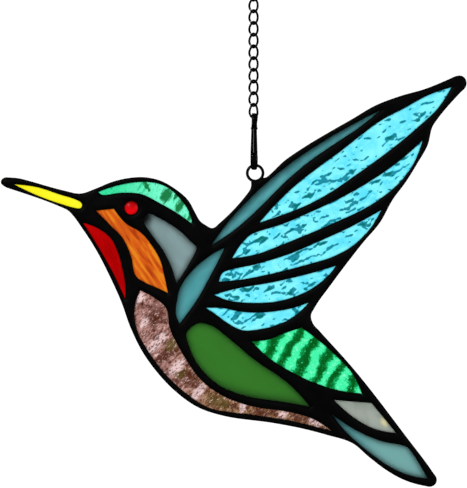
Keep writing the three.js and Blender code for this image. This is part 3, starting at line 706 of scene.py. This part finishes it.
def addShade(mesh, edge, allRound, towards):
    # the shadow that the raised lines cast on the glass, as a value from 0 to 1 at each vertex
    values = []
    for vert in mesh.vertices:
        nearest, _, away = solderRim.find((vert.co.x, 0, vert.co.z))
        outwards = Vector((nearest.x - vert.co.x, nearest.z - vert.co.z))
        if edge.find((vert.co.x, 0, vert.co.z))[2] < paneMesh["hiddenLap"]:  # under the came
            away, outwards = 0, -outwards
        width, strength = allRound
        value = strength * max(0, 1 - away / (width * mm)) ** 1.5
        if towards:
            x, z, width, strength = towards
            facing = max(0, outwards.normalized().dot(Vector((x, z)).normalized()))
            value = max(value, strength * facing * max(0, 1 - away / (width * mm)) ** 1.2)
        values.append(value)
    for _ in range(paneMesh["shadeRounds"] if towards else 0):
        sums, counts = [0.0] * len(values), [0] * len(values)
        for edge in mesh.edges:
            a, b = edge.vertices
            sums[a] += values[b]
            sums[b] += values[a]
            counts[a] += 1
            counts[b] += 1
        values = [(value + total / count) / 2 for value, total, count in zip(values, sums, counts)]
    shade = mesh.attributes.new("shade", "FLOAT", "POINT")
    for i, value in enumerate(values):
        shade.data[i].value = value


def glassPane(node, relief, allRound, towards):
    loops = [smoothLoop(loop, paneMesh["pointSpacing"]) for loop in outlineLoops(node, 0)]
    edge = rimTree(loops)
    sheet = flatSheet(loops, edge, paneMesh["gridSpacing"])
    mesh = thickened(sheet, paneMesh["half"])
    height, length = relief
    for vert in mesh.vertices:
        if vert.co.y < 0:  # the rolled face; the other is smooth
            spot = Vector((vert.co.x, 0, vert.co.z)) / length
            vert.co.y -= height * (noise.noise(spot) + 0.5 * noise.noise(spot * 2.3))
    addShade(mesh, edge, allRound, towards)
    return mesh


def makePanes():
    materials = {}
    for node, (slot, finish, allRound, towards) in panes.items():
        build, relief = glass.get(finish, (None, (0.03 * mm, 9 * mm)))
        if finish not in materials:
            materials[finish] = build() if build else wispyMaterial(finish)
        mesh = glassPane(node, relief, allRound, towards)
        finishPiece(node.replace("glass_", "pane_"), mesh, materials[finish], "suncatcher", slot, node)


# The eye: a ruby nugget, domed towards the front

eye = {"dome": 0.85, "segments": 40, "rings": 20,
       "shadeMost": 0.9, "shadeRise": 0.75, "shadeMiddle": 0.15}


def eyeNugget():
    low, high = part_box("glass_eye")
    centre = (low + high) / 2
    radius = (high.x - low.x) / 2
    shape = bmesh.new()
    bmesh.ops.create_uvsphere(shape, u_segments=eye["segments"], v_segments=eye["rings"], radius=radius)
    bmesh.ops.rotate(shape, verts=shape.verts, cent=(0, 0, 0), matrix=Matrix.Rotation(math.pi / 2, 3, "X"))
    depth = high.y - low.y
    for vert in shape.verts:  # a round pebble, flat behind
        vert.co.y = high.y - depth * max(0, (1 - vert.co.y / radius) / 2) ** eye["dome"]
    bmesh.ops.translate(shape, verts=shape.verts, vec=(centre.x, 0, centre.z))
    bmesh.ops.recalc_face_normals(shape, faces=shape.faces)
    mesh = toMesh(shape)
    shade = mesh.attributes.new("shade", "FLOAT", "POINT")
    for i, vert in enumerate(mesh.vertices):  # painted shade: darker towards its top
        rise = (vert.co.z - centre.z) / radius
        value = min(1, max(0, eye["shadeRise"] * rise + eye["shadeMiddle"]))
        shade.data[i].value = eye["shadeMost"] * value
    return mesh


# Ring, chain and snap hooks, in black lacquer

hardware = {
    "ringWire": 1.2 * mm, "ringSegments": 96, "wireSides": 20,
    "linkWire": 0.92 * mm, "linkSteps": 96, "linkHalfWidth": 1.72 * mm, "linkHalfLength": 2.87 * mm,
    "linkTwist": math.radians(43), "fullness": 0.6, "hollow": 0.15, "sag": 0.25 * mm,
    "seamAt": math.radians(215), "seam": 0.03,
    "castingVoxel": 0.13 * mm, "smallVoxel": 0.07 * mm,
    "crowned": 0.24,   # how far a casting's faces fall back at their edges, in half widths
    # height over the hook's foot and how many times wider the casting is there than the CAD's
    "eyeFlare": [(16.5, 1.0), (19.4, 1.42), (20.7, 1.9), (22.2, 2.1), (23.6, 2.1)],
    "eyeCrown": (21.8, 0.62, 0.5, 0.9),   # over this height the eye's half width is 0.62 mm, and
                                          # from 0.5 mm off the middle plane it grows by 0.9
}


def lacquerMaterial():
    # Black lacquered zinc and steel: smooth and nearly black, with a small sharp shine.
    material, tree, shader = newMaterial("blackLacqueredZinc")
    place = addNode(tree, "ShaderNodeTexCoord").outputs["Object"]
    wear = addNode(tree, "ShaderNodeTexNoise", {"Scale": 1 / (2.5 * mm), "Detail": 3}, {"Vector": place})
    tone = addNode(tree, "ShaderNodeMix", {"data_type": "RGBA", 6: linearColour("#020202"),
                                           7: linearColour("#0a0a0b")}, {0: wear.outputs["Fac"]})
    gloss = addNode(tree, "ShaderNodeMapRange", {"To Min": 0.08, "To Max": 0.16},
                    {"Value": wear.outputs["Fac"]})
    bump = addNode(tree, "ShaderNodeBump", {"Strength": 0.1, "Distance": 0.02 * mm},
                   {"Height": wear.outputs["Fac"]})
    shader.inputs["Specular IOR Level"].default_value = 0.5
    tree.links.new(tone.outputs[2], shader.inputs["Base Color"])
    tree.links.new(gloss.outputs["Result"], shader.inputs["Roughness"])
    tree.links.new(bump.outputs["Normal"], shader.inputs["Normal"])
    return material


def hangingRing():
    low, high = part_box("hanging_ring")
    centre = (low + high) / 2
    wire = hardware["ringWire"] / 2
    meanRadius = (high.x - low.x) / 2 - (high.y - low.y) / 2
    shape = bmesh.new()
    made = bmesh.ops.create_circle(shape, segments=hardware["wireSides"], radius=wire)
    bmesh.ops.translate(shape, verts=made["verts"], vec=(meanRadius, 0, 0))
    bmesh.ops.spin(shape, geom=shape.verts[:] + shape.edges[:], cent=(0, 0, 0), axis=(0, 1, 0),
                   angle=2 * math.pi, steps=hardware["ringSegments"], use_merge=True)
    bmesh.ops.translate(shape, verts=shape.verts, vec=centre)
    bmesh.ops.recalc_face_normals(shape, faces=shape.faces)
    return toMesh(shape)


def linkPath(lowTwist, highTwist):
    points = []
    for step in range(hardware["linkSteps"] + 1):
        part = step / hardware["linkSteps"]
        angle = hardware["seamAt"] + hardware["seam"] + part * (2 * math.pi - 2 * hardware["seam"])
        along, across = math.sin(angle), math.cos(angle)
        if across > 0:
            full, sag = math.sqrt(1 + hardware["fullness"] * along**2), 0
        else:
            full, sag = 1 - hardware["hollow"] * along**2, hardware["sag"] * across**2
        twist = lowTwist + (highTwist - lowTwist) * (1 + along) / 2
        out = hardware["linkHalfWidth"] * across * full
        points.append(Vector((out * math.cos(twist), out * math.sin(twist),
                              hardware["linkHalfLength"] * along - sag)))
    return points


def wireMesh(points, radius, centre):
    # round wire swept along a path, its ends closed
    curve = bpy.data.curves.new("wire", "CURVE")
    curve.dimensions = "3D"
    curve.bevel_depth = radius
    curve.bevel_resolution = 4
    curve.use_fill_caps = True
    spline = curve.splines.new("POLY")
    spline.points.add(len(points) - 1)
    for point, spot in zip(spline.points, points):
        point.co = (*(spot + centre), 1)
    holder = bpy.data.objects.new("wire", curve)
    bpy.context.scene.collection.objects.link(holder)
    view = holder.evaluated_get(bpy.context.evaluated_depsgraph_get())
    mesh = bpy.data.meshes.new_from_object(view)
    bpy.data.objects.remove(holder)
    bpy.data.curves.remove(curve)
    return mesh


def curbChain(material):
    names = sorted(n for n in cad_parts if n.startswith("chain_link_"))
    for i, name in enumerate(names):
        low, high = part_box(name)
        centre = Vector((0, 0, (low.z + high.z) / 2))
        lowTwist = 0 if i == 0 else -hardware["linkTwist"]
        highTwist = 0 if i == len(names) - 1 else hardware["linkTwist"]
        mesh = wireMesh(linkPath(lowTwist, highTwist), hardware["linkWire"] / 2, centre)
        finishPiece(name.replace("chain_link", "curb_link"), mesh, material, "suncatcher", "hardware", name)


def castSkin(node, voxel, rounds):
    # the CAD solid under an even fine skin, its edges softened and faces crowned as a casting's are
    mesh = toMesh(mergedCopy(node))
    holder = bpy.data.objects.new("skin", mesh)
    bpy.context.scene.collection.objects.link(holder)
    remesh = holder.modifiers.new("remesh", "REMESH")
    remesh.mode, remesh.voxel_size = "VOXEL", voxel
    view = holder.evaluated_get(bpy.context.evaluated_depsgraph_get())
    skin = bpy.data.meshes.new_from_object(view)
    bpy.data.objects.remove(holder)
    bpy.data.meshes.remove(mesh)
    shape = bmesh.new()
    shape.from_mesh(skin)
    bpy.data.meshes.remove(skin)
    for _ in range(rounds):
        bmesh.ops.smooth_vert(shape, verts=shape.verts, factor=0.5,
                              use_axis_x=True, use_axis_y=True, use_axis_z=True)
    low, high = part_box(node)
    middle, half = (high.x + low.x) / 2, (high.x - low.x) / 2
    shape.normal_update()
    for vert in shape.verts:
        fall = hardware["crowned"] * half * ((vert.co.x - middle) / half) ** 2
        vert.co -= fall * Vector((0, vert.normal.y, vert.normal.z))
    return toMesh(shape)


def flareEye(mesh, foot):
    # the casting's eye swells sideways, except where its crown passes inside the chain's last link
    flare = hardware["eyeFlare"]
    crownHeight, crownHalf, crownReach, crownGrowth = hardware["eyeCrown"]
    for vert in mesh.vertices:
        height = (vert.co.z - foot) / mm
        if height <= flare[0][0]:
            continue
        times = flare[-1][1]
        for (low, first), (high, second) in zip(flare, flare[1:]):
            if low <= height <= high:
                times = first + (second - first) * (height - low) / (high - low)
        across = vert.co.x * times
        if height > crownHeight:
            limit = crownHalf + crownGrowth * max(0, abs(vert.co.y) / mm - crownReach)
            across = max(-limit * mm, min(limit * mm, across))
        vert.co.x = across


def snapHooks(material):
    for end in ("lower", "upper"):
        for part, voxel, body in (("body", "castingVoxel", "suncatcher"),
                                  ("gate", "smallVoxel", f"{end}_gate"),
                                  ("pin", "smallVoxel", "suncatcher")):
            node = f"{end}_hook_{part}"
            mesh = castSkin(node, hardware[voxel], 3 if part == "body" else 2)
            if part == "body":
                flareEye(mesh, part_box(node)[0].z)
            finishPiece(f"{end}_snap_{part}", mesh, material, body, "hardware", node)


# Floor, light and camera

studio = {
    "viewHeight": 200.08 * mm,   # the height in view at the bird's distance
    "aimHeight": 99.4 * mm,      # of the camera's aim above the bird's lowest point
    "lens": 200, "sensor": 36,
    "floorDrop": 190 * mm,       # under the lowest point of the bird
    "floorSize": 1.1,
    # each softbox: where it stands, its power in watts and its width
    "softboxes": {"key": ((-0.5, -0.9, 0.35), 0.8, 0.16), "fill": ((0.7, -0.8, 0.0), 0.3, 0.4),
                  "back": ((0.1, 0.9, 0.4), 0.6, 0.4)},
}


def makeStudio():
    scene = bpy.context.scene
    scene.view_settings.view_transform = "Standard"
    low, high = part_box("solder_came")
    target = Vector(((low.x + high.x) / 2, 0, cadLow.z + studio["aimHeight"]))
    world = bpy.data.worlds.new("studio")
    scene.world = world
    world.use_nodes = True
    background = world.node_tree.nodes["Background"]
    background.inputs["Color"].default_value = (1, 1, 1, 1)
    background.inputs["Strength"].default_value = 1.08
    world.cycles_visibility.glossy = False  # else the black metal mirrors the white all round
    shape = bmesh.new()
    bmesh.ops.create_grid(shape, x_segments=1, y_segments=1, size=studio["floorSize"] / 2)
    bmesh.ops.translate(shape, verts=shape.verts, vec=(target.x, 0, cadLow.z - studio["floorDrop"]))
    material, tree, shader = newMaterial("paleMattPaint")
    shader.inputs["Base Color"].default_value = linearColour("#f2f2f0")
    shader.inputs["Roughness"].default_value = 0.9
    floor = bpy.data.objects.new("floor", toMesh(shape))
    floor.data.materials.append(material)
    scene.collection.objects.link(floor)
    floor.visible_glossy = False
    for name, (spot, power, width) in studio["softboxes"].items():
        light = bpy.data.lights.new(name, "AREA")
        light.energy, light.size = power, width
        lamp = bpy.data.objects.new(name, light)
        lamp.location = spot
        lamp.visible_transmission = False  # so that the white all round alone lights the glass through
        lamp.rotation_euler = (target - lamp.location).to_track_quat("-Z", "Y").to_euler()
        scene.collection.objects.link(lamp)
    camera = bpy.data.cameras.new("camera")
    camera.lens, camera.sensor_fit = studio["lens"], "VERTICAL"
    camera.sensor_width = camera.sensor_height = studio["sensor"]
    viewer = bpy.data.objects.new("camera", camera)
    distance = studio["viewHeight"] * studio["lens"] / studio["sensor"]
    viewer.location = target - Vector((0, distance, 0))
    viewer.rotation_euler = (math.radians(90), 0, 0)
    scene.collection.objects.link(viewer)
    scene.camera = viewer


finishPiece("soldered_lines", solderedLines(), patinaMaterial(), "suncatcher", "came", "solder_came")
print("soldered lines:", len(solderLoops), "outlines")
makePanes()
finishPiece("pane_eye", eyeNugget(), wispyMaterial("rubyNuggetGlass"), "suncatcher", "glass_red", "glass_eye")
print("glass: panes and eye")
lacquer = lacquerMaterial()
finishPiece("soldered_ring", hangingRing(), lacquer, "suncatcher", "hardware", "hanging_ring")
curbChain(lacquer)
snapHooks(lacquer)
print("ring, chain and hooks")
makeStudio()
print("studio")
